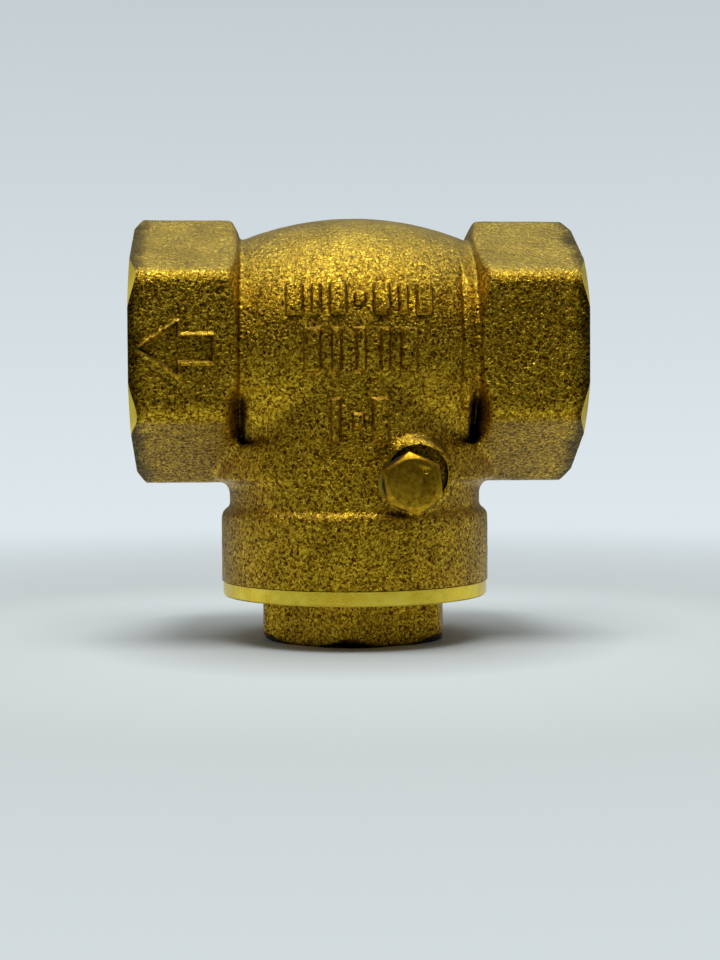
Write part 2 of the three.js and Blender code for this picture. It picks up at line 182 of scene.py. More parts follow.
def makeStainless():
    # Drawn stainless pin wire: cool grey, fine lines along its length
    d = drawnFinish
    material, tree, output, place = startMaterial("drawnStainlessSteel")
    across, along = 1 / (d["lineWidth"] * mm), 1 / (d["lineLength"] * mm)
    stretched = addNode(tree, "Mapping", {"Vector": place, "Scale": (across, along, across)})
    lines = addNode(tree, "TexNoise", {"Vector": stretched.outputs["Vector"], "Scale": 1.0, "Detail": 2.0})
    colour = addNode(tree, "ValToRGB", {"Fac": lines.outputs["Fac"]}, [(0.3, d["dark"]), (0.7, d["light"])])
    bump = addNode(tree, "Bump", {"Height": lines.outputs["Fac"], "Distance": d["lineDepth"] * mm,
                                  "Strength": 1.0})
    shader = addNode(tree, "BsdfPrincipled", {
        "Base Color": colour.outputs["Color"], "Metallic": 1.0, "Roughness": 0.27,
        "Normal": bump.outputs["Normal"]})
    tree.links.new(shader.outputs["BSDF"], output.inputs["Surface"])
    return material


rubberFinish = {"black": "#161616", "bloom": "#2b2b2a", "bloomSize": 1.6, "skinSize": 0.15, "skinDepth": 0.01}


def makeRubber():
    # Moulded nitrile rubber: black with a slight grey bloom, no gloss
    n = rubberFinish
    material, tree, output, place = startMaterial("mouldedNitrileRubber")
    bloom = addNode(tree, "TexNoise", {"Vector": place, "Scale": 1 / (n["bloomSize"] * mm), "Detail": 4.0,
                                       "Roughness": 0.65})
    skin = addNode(tree, "TexNoise", {"Vector": place, "Scale": 1 / (n["skinSize"] * mm), "Detail": 2.0})
    colour = addNode(tree, "ValToRGB", {"Fac": bloom.outputs["Fac"]}, [(0.35, n["black"]), (0.7, n["bloom"])])
    bump = addNode(tree, "Bump", {"Height": skin.outputs["Fac"], "Distance": n["skinDepth"] * mm,
                                  "Strength": 1.0})
    shader = addNode(tree, "BsdfPrincipled", {
        "Base Color": colour.outputs["Color"], "Roughness": 0.62, "IOR": 1.52,
        "Normal": bump.outputs["Normal"]})
    tree.links.new(shader.outputs["BSDF"], output.inputs["Surface"])
    return material


fibreFinish = {"dark": "#1f1712", "pale": "#4b3a2d", "fibreSize": 0.3, "fibreDepth": 0.02}


def makeFibre():
    # Pressed fibre gasket: nearly black brown, with short paler fibres
    f = fibreFinish
    material, tree, output, place = startMaterial("pressedFibre")
    fibres = addNode(tree, "TexNoise", {"Vector": place, "Scale": 1 / (f["fibreSize"] * mm), "Detail": 5.0,
                                        "Distortion": 3.0})
    colour = addNode(tree, "ValToRGB", {"Fac": fibres.outputs["Fac"]}, [(0.35, f["dark"]), (0.65, f["pale"])])
    bump = addNode(tree, "Bump", {"Height": fibres.outputs["Fac"], "Distance": f["fibreDepth"] * mm,
                                  "Strength": 1.0})
    shader = addNode(tree, "BsdfPrincipled", {
        "Base Color": colour.outputs["Color"], "Roughness": 0.8, "Normal": bump.outputs["Normal"]})
    tree.links.new(shader.outputs["BSDF"], output.inputs["Surface"])
    return material


forgedBrass = makeForgedBrass()
turnedBrass = makeTurnedBrass()
dullBrass = makeDullBrass()
stainless = makeStainless()
rubber = makeRubber()
fibre = makeFibre()
print("materials ready")


def newPiece(name, mesh, material):
    bmesh.ops.recalc_face_normals(mesh, faces=mesh.faces)
    if mesh.calc_volume(signed=True) < 0:
        bmesh.ops.reverse_faces(mesh, faces=mesh.faces)
    data = bpy.data.meshes.new(name)
    mesh.to_mesh(data)
    mesh.free()
    data.materials.append(material)
    piece = bpy.data.objects.new(name, data)
    bpy.context.scene.collection.objects.link(piece)
    return piece


def lathe(name, profile, material, sides=128, axis="Z", closed=False):
    # Turns (radius, height) points about an axis: a solid bar, or a washer if the profile is closed
    if not closed and profile[0][0] > 0:
        profile = [(0, profile[0][1]), *profile]
    if not closed and profile[-1][0] > 0:
        profile = [*profile, (0, profile[-1][1])]
    mesh = bmesh.new()
    rings = []
    for radius, height in profile:
        count = sides if radius > 1e-6 else 1
        turns = [2 * math.pi * k / sides for k in range(count)]
        rings.append([mesh.verts.new((radius * math.cos(a), radius * math.sin(a), height)) for a in turns])
    pairs = list(zip(rings, rings[1:])) + ([(rings[-1], rings[0])] if closed else [])
    for low, high in pairs:
        for k in range(sides):
            following = (k + 1) % sides
            corners = [low[k % len(low)], low[following % len(low)],
                       high[following % len(high)], high[k % len(high)]]
            corners = list(dict.fromkeys(corners))
            if len(corners) > 2:
                mesh.faces.new(corners)
    quarter = math.pi / 2
    turn = {"Z": Matrix(), "X": Matrix.Rotation(quarter, 4, "Y"), "Y": Matrix.Rotation(-quarter, 4, "X")}
    mesh.transform(turn[axis])
    return newPiece(name, mesh, material)


def extrude(name, outline, low, high, material):
    # Straight prism along Z from a list of (x, y) points
    mesh = bmesh.new()
    bottom = [mesh.verts.new((x, y, low)) for x, y in outline]
    top = [mesh.verts.new((x, y, high)) for x, y in outline]
    mesh.faces.new(bottom)
    mesh.faces.new(top)
    for k in range(len(outline)):
        following = (k + 1) % len(outline)
        mesh.faces.new([bottom[k], bottom[following], top[following], top[k]])
    return newPiece(name, mesh, material)


def hexagon(acrossFlats, cornerRadius, steps=6):
    # Outline with one rounded corner on +x
    reach = (acrossFlats / 2 - cornerRadius) / math.cos(math.pi / 6)
    outline = []
    for corner in range(6):
        middle = corner * math.pi / 3
        for step in range(steps + 1):
            angle = middle + math.pi / 6 * (2 * step / steps - 1)
            outline.append((reach * math.cos(middle) + cornerRadius * math.cos(angle),
                            reach * math.sin(middle) + cornerRadius * math.sin(angle)))
    return outline


def place(piece, matrix):
    piece.data.transform(matrix)
    return piece


def settle(piece):
    # Applies the modifiers to the mesh
    graph = bpy.context.evaluated_depsgraph_get()
    mesh = bpy.data.meshes.new_from_object(piece.evaluated_get(graph))
    piece.modifiers.clear()
    old = piece.data
    piece.data = mesh
    bpy.data.meshes.remove(old)
    return piece


def combine(piece, others, operation="DIFFERENCE"):
    for other in others:
        cut = piece.modifiers.new("cut", "BOOLEAN")
        cut.object = other
        cut.operation = operation
        cut.solver = "MANIFOLD"
        cut.material_mode = "TRANSFER"
        settle(piece)
        bpy.data.objects.remove(other)
    return piece


def weld(pieces, name):
    # Joins closed shells that overlap; the remesh makes one skin of them
    mesh = bmesh.new()
    for piece in pieces:
        mesh.from_mesh(piece.data)
    material = pieces[0].data.materials[0]
    for piece in pieces:
        bpy.data.objects.remove(piece)
    data = bpy.data.meshes.new(name)
    mesh.to_mesh(data)
    mesh.free()
    data.materials.append(material)
    joined = bpy.data.objects.new(name, data)
    bpy.context.scene.collection.objects.link(joined)
    return joined


def forge(piece, voxel, rounds):
    # Remesh and relax: sharp edges and inside corners take the soft radius of a forging
    remesh = piece.modifiers.new("remesh", "REMESH")
    remesh.mode = "VOXEL"
    remesh.voxel_size = voxel
    relax = piece.modifiers.new("relax", "SMOOTH")
    relax.factor = 0.5
    relax.iterations = rounds
    return settle(piece)


def bevel(piece, width, steps=3, angle=30):
    edge = piece.modifiers.new("bevel", "BEVEL")
    edge.width = width
    edge.segments = steps
    edge.limit_method = "ANGLE"
    edge.angle_limit = math.radians(angle)
    return settle(piece)


def thread(name, minor, major, pitch, start, length, material, steps=96):
    # A helical ridge about Z that runs out at both ends; its flanks start a little inside the minor radius
    mesh = bmesh.new()
    crest = pitch * 0.17
    under = 0.1
    root = pitch * 0.83 + under * pitch * 0.66 / (major - minor)
    count = int(length / pitch * steps)
    rings = []
    for k in range(count + 1):
        angle = 2 * math.pi * k / steps
        height = start + pitch * k / steps
        runOut = min(1.0, k / (steps * 0.35), (count - k) / (steps * 0.35))
        outer = minor + (major - minor) * max(runOut, 0.02)
        section = [(minor - under, -root / 2), (outer, -crest / 2),
                   (outer, crest / 2), (minor - under, root / 2)]
        rings.append([mesh.verts.new((radius * math.cos(angle), radius * math.sin(angle), height + offset))
                      for radius, offset in section])
    for near, far in zip(rings, rings[1:]):
        for k in range(len(near)):
            following = (k + 1) % len(near)
            mesh.faces.new([near[k], near[following], far[following], far[k]])
    mesh.faces.new(rings[0])
    mesh.faces.new(rings[-1])
    return newPiece(name, mesh, material)


def finishPiece(piece, body, nodes, sharp=35):
    # Millimetres to metres, shading, and the frame's bookkeeping
    piece.data.transform(Matrix.Scale(mm, 4))
    piece.data.polygons.foreach_set("use_smooth", [True] * len(piece.data.polygons))
    piece.data.set_sharp_from_angle(angle=math.radians(sharp))
    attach(piece, body)
    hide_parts(*nodes)
    return piece


pipe = {"z": 30.85, "halfLength": 23.2}
ends = {"acrossFlats": 25.0, "cornerRadius": 2.2, "start": 12.3, "shoulderSlope": 0.5, "shoulderRadius": 0.8,
        "faceRadius": 13.05, "chamferSlope": 0.8, "minor": 9.316, "major": 10.4775, "pitch": 1.814,
        "threadDepth": 12.0, "mouthChamfer": 1.4}
barrel = {"radius": 14.2, "bulgeRadius": 32.0, "half": 11.9}
neck = {"radius": 13.5, "widen": 1.03, "filletRadius": 1.6, "filletTop": 17.1, "filletNarrow": 0.89}
collar = {"radius": 14.4, "bottom": 6.3, "top": 14.15, "edge": 1.05}
chamber = {"radius": 11.0, "pocketRadius": 10.7, "pocketEnd": -9.6, "partitionStart": 14.4}
seat = {"lean": math.radians(12), "fromPin": 3.4, "rimHeight": 0.5, "rimRadius": 8.4, "portRadius": 7.0}
pin = {"x": 4.85, "z": 17.05, "radius": 1.25, "hole": 1.31, "front": -11.4, "rear": 12.1, "holeEnd": 12.4}
frontBoss = {"x": 5.5, "z": 17.85, "radius": 3.75, "face": -14.15}
spotFace = {"radius": 3.3, "depth": 13.75, "ringRadius": 3.05, "ringDepth": 13.55, "hole": 2.0,
            "holeEnd": 11.5}
rearBoss = {"x": 5.1, "z": 17.6, "radius": 3.7, "face": 13.9}
capSeat = {"threadMinor": 11.15, "threadMajor": 12.0, "pitch": 1.5, "top": 13.8, "gasketRadius": 12.9,
           "gasketTop": 7.45, "chamfer": 0.9}
arrow = {"tip": -22.1, "shoulder": -18.3, "tail": -14.9, "headHalf": 2.6, "shaftHalf": 1.25, "z": 30.5,
         "depth": 0.45, "rim": 0.24, "rimWidth": 0.35}
forging = {"voxel": 0.2, "rounds": 14, "waveHeight": 0.06, "waveSize": 1.4}

beyond = 30.0  # well outside the valve, for cutters that open to the air
atPipe = Matrix.Translation((0, 0, pipe["z"]))


def barrelBlank():
    b = barrel
    arc = []
    for step in range(25):
        x = b["half"] * (step / 12 - 1)
        arc.append((b["radius"] - b["bulgeRadius"] + math.sqrt(b["bulgeRadius"] ** 2 - x ** 2), x))
    edge = arc[0][0] - 0.15
    inside = 14.0  # the barrel's ends stay hidden in the hexagons
    profile = [(edge, -inside), (edge, -b["half"]), *arc, (edge, b["half"]), (edge, inside)]
    return lathe("barrel", profile, forgedBrass, axis="X")


def hexagonBlank(side):
    start, flat, outside, length = ends["start"], ends["acrossFlats"] / 2, 16.0, 25.0
    prism = extrude("prism", hexagon(ends["acrossFlats"], ends["cornerRadius"]), start, length, forgedBrass)
    rise = (outside - flat) * ends["shoulderSlope"]
    shoulder = lathe("shoulder", [(flat, start), (outside, start + rise), (outside, length + 1)], forgedBrass)
    bevel(combine(prism, [shoulder], "INTERSECT"), ends["shoulderRadius"], 4, 50)
    return place(prism, Matrix.Rotation(math.pi / 2 * side, 4, "Y"))


def neckBlanks():
    n = neck
    straight = lathe("neck", [(n["radius"], 5), (n["radius"], pipe["z"])], forgedBrass)
    place(straight, Matrix.Scale(n["widen"], 4, (0, 1, 0)))
    curve = [(0, 14)]
    for step in range(9):  # the round under each hexagon
        angle = math.pi / 2 * step / 8
        curve.append((n["radius"] + n["filletRadius"] * (1 - math.cos(angle)),
                      n["filletTop"] - n["filletRadius"] * (1 - math.sin(angle))))
    flare = lathe("flare", [*curve, (n["radius"] + n["filletRadius"], 21)], forgedBrass)
    # narrower front to back, so that it dies away into the front and back of the neck
    return [straight, place(flare, Matrix.Scale(n["filletNarrow"], 4, (0, 1, 0)))]


def bossBlank(boss):
    reach = abs(boss["face"])
    edge = 0.25
    profile = [(boss["radius"], 6), (boss["radius"], reach - edge), (boss["radius"] - edge, reach)]
    piece = lathe("boss", profile, forgedBrass, 64, "Y")
    turn = Matrix.Rotation(math.pi, 4, "Z") if boss["face"] < 0 else Matrix()
    return place(piece, Matrix.Translation((boss["x"], 0, boss["z"])) @ turn)


def bodyForging():
    blanks = [place(piece, atPipe) for piece in (barrelBlank(), hexagonBlank(1), hexagonBlank(-1))]
    blanks += neckBlanks()
    ledge = [(collar["radius"], 4.5)]
    for step in range(7):
        angle = math.pi / 12 * step
        ledge.append((collar["radius"] - collar["edge"] * (1 - math.cos(angle)),
                      collar["top"] - collar["edge"] * (1 - math.sin(angle))))
    blanks.append(lathe("collar", ledge, forgedBrass))
    blanks += [bossBlank(frontBoss), bossBlank(rearBoss)]
    piece = forge(weld(blanks, "valveBody"), forging["voxel"], forging["rounds"])
    return easeSaddle(piece)


def easeSaddle(piece):
    # Extra relaxing where the barrel runs into the neck, front and back
    group = piece.vertex_groups.new(name="saddle")
    for vertex in piece.data.vertices:
        x, y, z = vertex.co
        weight = smoothStep(8, 10, abs(y)) * smoothStep(18.5, 20, z) * (1 - smoothStep(28, 31, z))
        weight *= (1 - smoothStep(9.5, 11.5, abs(x)))
        if weight > 0:
            group.add([vertex.index], float(weight), "REPLACE")
    relax = piece.modifiers.new("relax", "SMOOTH")
    relax.vertex_group = "saddle"
    relax.factor = 0.5
    relax.iterations = 120
    return settle(piece)


def refineFront(piece, boxes):
    # Halves the mesh size where small raised and sunk marks go; boxes are (x low, x high, z low, z high)
    mesh = bmesh.new()
    mesh.from_mesh(piece.data)
    edges = set()
    for face in mesh.faces:
        middle = face.calc_center_median()
        if middle.y < -9 and any(a < middle.x < b and c < middle.z < d for a, b, c, d in boxes):
            edges.update(face.edges)
    bmesh.ops.subdivide_edges(mesh, edges=list(edges), cuts=1, use_grid_fill=True)
    bmesh.ops.triangulate(mesh, faces=[face for face in mesh.faces if len(face.verts) > 4])
    mesh.to_mesh(piece.data)
    mesh.free()


def smoothStep(low, high, value):
    t = np.clip((value - low) / (high - low), 0, 1)
    return t * t * (3 - 2 * t)


def segmentDistance(x, z, start, end):
    along = np.array(end, float) - start
    px, pz = x - start[0], z - start[1]
    share = np.clip((px * along[0] + pz * along[1]) / max(along @ along, 1e-9), 0, 1)
    return np.hypot(px - share * along[0], pz - share * along[1])


def outlineDistance(x, z, outline):
    # Distance to a closed outline, negative inside it
    nearest = np.full(x.shape, 1e9)
    inside = np.zeros(x.shape, bool)
    for start, end in zip(outline, outline[1:] + outline[:1]):
        nearest = np.minimum(nearest, segmentDistance(x, z, start, end))
        crosses = (start[1] > z) != (end[1] > z)
        slope = (end[0] - start[0]) / ((end[1] - start[1]) or 1e-9)
        inside ^= crosses & (x < start[0] + (z - start[1]) * slope)
    return np.where(inside, -nearest, nearest)


# Raised rows of plain blocks on the barrel; each block is its half width and its share of the row's height
narrow, wide, dot = (0.25, 1.0), (0.62, 1.0), (0.35, 0.25)
marks = {
    "height": 0.6, "flank": 0.35,
    "rows": [
        {"z": 35.45, "tall": 2.6, "from": -6.6, "to": 6.3,
         "blocks": [wide, narrow, wide, dot, wide, narrow, wide]},
        {"z": 30.3, "tall": 3.9, "from": -4.9, "to": 4.7, "blocks": [wide, narrow, narrow, narrow, wide]},
        {"z": 23.3, "tall": 4.0, "from": -2.6, "to": 1.8, "blocks": [narrow, dot, wide]},
    ],
}


def markHeights(x, z):
    height = np.zeros(x.shape)
    for row in marks["rows"]:
        middles = np.linspace(row["from"], row["to"], len(row["blocks"]))
        for middle, (half, share) in zip(middles, row["blocks"]):
            tall = row["tall"] / 2 * share
            left, right = middle - half, middle + half
            outline = [(left, -tall), (right, -tall), (right, tall), (left, tall)]
            distance = outlineDistance(x, z - row["z"], outline)
            height = np.maximum(height, 1 - smoothStep(0, marks["flank"], distance))
    return height * marks["height"]


def arrowHeights(x, z):
    a = arrow
    upper = [(a["shoulder"], a["headHalf"]), (a["shoulder"], a["shaftHalf"]), (a["tail"], a["shaftHalf"])]
    outline = [(a["tip"], 0), *upper, *((along, -half) for along, half in reversed(upper))]
    distance = outlineDistance(x, z - a["z"], outline)
    sunk = -a["depth"] * (1 - smoothStep(-0.12, 0.06, distance))
    rim = a["rim"] * smoothStep(-0.05, 0.1, distance) * (1 - smoothStep(0.1, 0.1 + a["rimWidth"], distance))
    return sunk + rim


# Hollows low in the front of each waist, beside the neck, and a faint second groove round the inlet side
pockets = {"x": (-12.55, 12.25), "z": 23.6, "width": 0.6, "tall": 2.2, "depth": 1.8,
           "grooveX": 10.5, "grooveDepth": 0.3, "grooveWidth": 0.28, "grooveFrom": 22.0, "grooveTo": 40.0}


def pocketDepths(x, z):
    p = pockets
    holes = sum(p["depth"] * np.exp(-((x - middle) / p["width"]) ** 2 - ((z - p["z"]) / p["tall"]) ** 4)
                for middle in p["x"])
    reach = smoothStep(p["grooveFrom"], p["grooveFrom"] + 2, z)
    reach *= 1 - smoothStep(p["grooveTo"] - 3, p["grooveTo"], z)
    return holes + p["grooveDepth"] * np.exp(-((x - p["grooveX"]) / p["grooveWidth"]) ** 2) * reach


def pressMarks(piece):
    vertices = piece.data.vertices
    spot = np.empty(len(vertices) * 3)
    vertices.foreach_get("co", spot)
    spot = spot.reshape(-1, 3)
    normal = np.empty(len(vertices) * 3)
    vertices.foreach_get("normal", normal)
    normal = normal.reshape(-1, 3)
    x, y, z = spot.T
    front = normal[:, 1] < -0.3
    onBarrel = front & (np.abs(x) < 9) & (y < -9)
    onFlat = front & (x < -13) & (x > -23.2) & (np.abs(z - pipe["z"]) < 6)
    lift = np.where(onBarrel, markHeights(x, z), 0) + np.where(onFlat, arrowHeights(x, z), 0)
    spot += normal * lift[:, None]
    spot[:, 1] += np.where(y < -6, pocketDepths(x, z), 0)
    vertices.foreach_set("co", spot.ravel())
    piece.data.update()


def roughen(piece):
    waves = bpy.data.textures.new("forgingWaves", "CLOUDS")
    waves.noise_scale = forging["waveSize"]
    waves.noise_depth = 3
    wavy = piece.modifiers.new("waves", "DISPLACE")
    wavy.texture = waves
    wavy.texture_coords = "LOCAL"
    wavy.strength = forging["waveHeight"]
    wavy.mid_level = 0.5
    settle(piece)


def square(half):
    return [(-half, -half), (half, -half), (half, half), (-half, half)]


def inletSide(offset):
    # Half-space on the inlet side of the leaning seat wall
    block = extrude("inletSide", square(beyond), -beyond, beyond, turnedBrass)
    lean = Matrix.Rotation(-seat["lean"], 4, "Y")
    aside = Matrix.Translation((beyond + offset, 0, 0))
    return place(block, Matrix.Translation((pin["x"], 0, pin["z"])) @ lean @ aside)


def chamberCutter():
    dome = [(chamber["radius"], 5)]
    for step in range(17):
        angle = step / 16 * math.pi / 2
        radius = chamber["radius"] * math.cos(angle) if step < 16 else 0
        dome.append((radius, pipe["z"] + chamber["radius"] * math.sin(angle)))
    hollow = lathe("chamber", dome, forgedBrass)
    pocket = lathe("pocket", [(ends["minor"], chamber["pocketEnd"] - 1.4),
                              (chamber["pocketRadius"], chamber["pocketEnd"]),
                              (chamber["pocketRadius"], 5.5)], forgedBrass, axis="X")
    combine(hollow, [place(pocket, atPipe)], "UNION")
    wall = inletSide(seat["fromPin"])
    top = extrude("top", square(beyond), chamber["partitionStart"], 80, forgedBrass)
    return combine(hollow, [combine(wall, [top], "INTERSECT")])


def boreCutters(side):
    inner = pipe["halfLength"] - ends["threadDepth"]
    passage = seat["portRadius"] if side > 0 else ends["minor"]
    mouth = ends["minor"] + ends["mouthChamfer"]
    end = pipe["halfLength"]
    bore = lathe("bore", [(passage, 0), (passage, inner - 1.2), (ends["minor"], inner),
                          (ends["minor"], end - ends["mouthChamfer"]), (mouth, end), (mouth, 25)],
                 turnedBrass)
    groove = thread("pipeThread", ends["minor"], ends["major"], ends["pitch"], inner + 0.9,
                    ends["threadDepth"] - 0.4, turnedBrass)
    turn = atPipe @ Matrix.Rotation(math.pi / 2 * side, 4, "Y")
    if side > 0:
        combine(place(bore, turn), [inletSide(seat["fromPin"] - 6)], "INTERSECT")
        return [bore, place(groove, turn)]
    return [place(bore, turn), place(groove, turn)]


def facingCutter(side):
    # The lathe faces each end and takes the hexagon's corners off
    outside = 17.0
    back = pipe["halfLength"] - (outside - ends["faceRadius"]) * ends["chamferSlope"]
    profile = [(ends["faceRadius"], pipe["halfLength"]), (outside, back), (outside, 27)]
    ring = lathe("facing", profile, turnedBrass, 160)
    return place(ring, atPipe @ Matrix.Rotation(math.pi / 2 * side, 4, "Y"))


def bodyCutters():
    cutters = [chamberCutter()]
    # the seat: a raised rim round the port, left when the wall is faced back
    relief = seat["rimHeight"]
    face = lathe("wallFace", [(seat["rimRadius"], seat["fromPin"] - 0.5), (12, seat["fromPin"] - 0.5),
                              (12, seat["fromPin"] + relief), (seat["rimRadius"], seat["fromPin"] + relief)],
                 turnedBrass, axis="X", closed=True)
    reach = (pipe["z"] - pin["z"] - seat["fromPin"] * math.sin(seat["lean"])) / math.cos(seat["lean"])
    lean = Matrix.Rotation(-seat["lean"], 4, "Y")
    place(face, Matrix.Translation((pin["x"], 0, pin["z"])) @ lean @ Matrix.Translation((0, 0, reach)))
    space = lathe("space", [(chamber["radius"], chamber["partitionStart"]), (chamber["radius"], 45)],
                  turnedBrass)
    cutters.append(combine(face, [space], "INTERSECT"))
    cutters += boreCutters(1) + boreCutters(-1) + [facingCutter(1), facingCutter(-1)]
    cutters.append(lathe("capFace", [(16, 3), (16, collar["bottom"])], turnedBrass))
    c = capSeat
    profile = [(c["gasketRadius"], 5), (c["gasketRadius"], c["gasketTop"]),
               (c["threadMinor"] + c["chamfer"], c["gasketTop"]),
               (c["threadMinor"], c["gasketTop"] + c["chamfer"]), (c["threadMinor"], c["top"])]
    cutters.append(lathe("capBore", profile, turnedBrass))
    cutters.append(thread("capThread", c["threadMinor"], c["threadMajor"], c["pitch"], 7.6, 6.4, turnedBrass))
    across = Matrix.Translation((pin["x"], 0, pin["z"])) @ Matrix.Rotation(math.pi / 2, 4, "X")
    pinHole = lathe("pinHole", [(pin["hole"], -pin["holeEnd"]), (pin["hole"], beyond)], turnedBrass, 48)
    f = spotFace
    plugHole = lathe("plugHole", [(f["hole"], f["holeEnd"]), (f["hole"], f["depth"]),
                                  (f["radius"], f["depth"]), (f["radius"], beyond)], turnedBrass, 64)
    cutters += [place(pinHole, across), place(plugHole, across)]
    atBoss = Matrix.Translation((frontBoss["x"], 0, frontBoss["z"])) @ Matrix.Rotation(math.pi / 2, 4, "X")
    bossFace = lathe("bossFace", [(f["ringRadius"], f["ringDepth"]), (f["ringRadius"], beyond)],
                     forgedBrass, 64)
    cutters.append(place(bossFace, atBoss))
    return cutters


body = bodyForging()
print("body forged", len(body.data.vertices))
refineFront(body, [(-23, -13.5, 26, 35), (-8.2, 7.8, 20.5, 38)])
pressMarks(body)
roughen(body)
combine(body, bodyCutters())
finishPiece(body, "valve", ["body"])
print("body machined", len(body.data.vertices))


cap = {"headFlats": 19.0, "headCornerRadius": 2.2, "headHeight": 4.7, "headTurn": -0.134, "restRadius": 8.8,
       "flangeRadius": 14.25, "flangeTop": 6.2, "rimChamfer": 0.25, "spigotMinor": 11.05,
       "spigotMajor": 11.9, "pitch": 1.5,
       "spigotTop": 12.8, "hollowRadius": 9.0, "hollowFloor": 5.6}


def makeCap():
    c = cap
    turn = Matrix.Rotation(c["headTurn"] - math.pi / 2, 4, "Z")
    below = -0.4  # the head is forged too long and faced off at zero
    head = extrude("head", hexagon(c["headFlats"], c["headCornerRadius"], 8), below, 5.4, forgedBrass)
    place(head, turn)
    edge = lathe("edge", [(c["restRadius"], below), (c["restRadius"] + 0.9, 0.0),
                          (c["restRadius"] + 1.5, 0.6), (12, 2.9), (12, 6)], forgedBrass)
    combine(head, [edge], "INTERSECT")
    plate = lathe("plate", [(14.8, c["headHeight"]), (14.8, 7)], forgedBrass)
    piece = forge(weld([head, plate], "cap"), 0.16, 10)
    roughen(piece)
    inside = c["flangeRadius"] - c["rimChamfer"]
    rim = lathe("rim", [(inside, -2), (inside, c["headHeight"] - 0.1),
                        (c["flangeRadius"], c["headHeight"] + 0.15), (c["flangeRadius"], c["flangeTop"])],
                turnedBrass, 192)
    combine(piece, [rim], "INTERSECT")
    rest = lathe("rest", [(15, -2), (15, 0)], forgedBrass)
    spigot = lathe("spigot", [(c["spigotMinor"], 5.9), (c["spigotMinor"], c["spigotTop"] - 0.5),
                              (c["spigotMinor"] - 0.5, c["spigotTop"])], turnedBrass)
    ridge = thread("capRidge", c["spigotMinor"], c["spigotMajor"], c["pitch"], 7.6, 4.4, turnedBrass)
    # its floor is a little deeper in the middle, as the drill leaves it
    hollow = lathe("hollow", [(0, c["hollowFloor"] - 0.8), (c["hollowRadius"] - 1.2, c["hollowFloor"]),
                              (c["hollowRadius"], c["hollowFloor"] + 1.2), (c["hollowRadius"], 15)],
                   turnedBrass)
    combine(piece, [rest])
    combine(piece, [spigot, ridge], "UNION")
    combine(piece, [hollow])
    return finishPiece(piece, "valve", ["cap"])


makeCap()
print("cap ready")


plug = {"flats": 5.5, "front": -16.45, "back": -14.45, "turn": 23, "faceRadius": 2.4, "faceSlope": 0.6,
        "shank": 1.85, "shankEnd": -11.6, "pitTurn": 45, "pitReach": 1.75, "pitSize": 0.27}
plugGasket = {"inner": 2.1, "outer": 2.9, "front": -14.42, "rear": -13.77}
capGasket = {"inner": 12.05, "outer": 12.75, "bottom": 6.3, "top": 7.35}
across = Matrix.Translation((pin["x"], 0, pin["z"])) @ Matrix.Rotation(-math.pi / 2, 4, "X")


def makePlug():
    p = plug
    top, under = p["front"], p["back"]
    corner = p["flats"] / math.sqrt(3) + 0.4  # just outside the hexagon's corners
    head = extrude("pinPlug", hexagon(p["flats"], 0.12, 3), top, under, dullBrass)
    place(head, Matrix.Rotation(math.radians(p["turn"]), 4, "Z"))
    slope = (corner - p["faceRadius"]) * p["faceSlope"]
    chamfer = lathe("chamfer", [(p["faceRadius"], top), (corner, top + slope), (corner, under)],
                    dullBrass, 96)
    combine(head, [chamfer], "INTERSECT")
    shank = lathe("shank", [(p["shank"], under - 0.6), (p["shank"], p["shankEnd"] - 0.3),
                            (p["shank"] - 0.3, p["shankEnd"])], turnedBrass, 64)
    combine(head, [shank], "UNION")
    turn = math.radians(p["pitTurn"])
    size = p["pitSize"]
    profile = [(0, -0.3), (0.8 * size, -0.2), (size, 0), (0.7 * size, 0.25), (0, 0.4)]
    pit = lathe("pit", profile, turnedBrass, 20)
    place(pit, Matrix.Translation((p["pitReach"] * math.cos(turn), -p["pitReach"] * math.sin(turn), top)))
    combine(head, [pit])
    bevel(head, 0.07, 2, 25)
    return finishPiece(place(head, across), "valve", ["pin_plug"])


def makeHingePin():
    p = pin
    profile = [(p["radius"], p["front"]), (p["radius"], p["rear"])]
    piece = bevel(lathe("hingePin", profile, stainless, 64, "Y"), 0.3)
    place(piece, Matrix.Translation((p["x"], 0, p["z"])))
    return finishPiece(piece, "valve", ["hinge_pin"])


def makeGaskets():
    g = plugGasket
    piece = lathe("plugGasket", [(g["inner"], g["front"]), (g["outer"], g["front"]), (g["outer"], g["rear"]),
                                 (g["inner"], g["rear"])], fibre, 64, closed=True)
    finishPiece(place(bevel(piece, 0.06), across), "valve", ["plug_gasket"])
    g = capGasket
    piece = lathe("capGasket", [(g["inner"], g["bottom"]), (g["outer"], g["bottom"]), (g["outer"], g["top"]),
                                (g["inner"], g["top"])], fibre, 128, closed=True)
    finishPiece(bevel(piece, 0.12), "valve", ["cap_gasket"])


makePlug()
makeHingePin()
makeGaskets()
print("plug, pin and gaskets ready")


# The clapper is drawn on the pin, with +Z towards the disc and +X towards the seat, and then swung open
swing = {"open": math.radians(56)}
disc = {"radius": 8.6, "recess": 8.05, "back": -0.3, "plate": 1.2, "rim": 2.4, "stud": 1.5, "studBack": -5.1,
        "studFront": 5.6}
hanger = {"knuckle": 2.5, "half": 6.5, "hole": 1.33, "eye": 3.7, "eyeHole": 1.62, "back": -2.6,
          "front": -0.45}
nutSize = {"flats": 5.5, "bore": 1.6, "slope": 0.55}
discReach = (pipe["z"] - pin["z"] - seat["fromPin"] * math.sin(seat["lean"])) / math.cos(seat["lean"])
atClapper = Matrix.Translation((pin["x"], 0, pin["z"])) @ Matrix.Rotation(-swing["open"], 4, "Y")
atDisc = atClapper @ Matrix.Translation((0, 0, discReach))
alongDisc = atDisc @ Matrix.Rotation(math.pi / 2, 4, "Y")


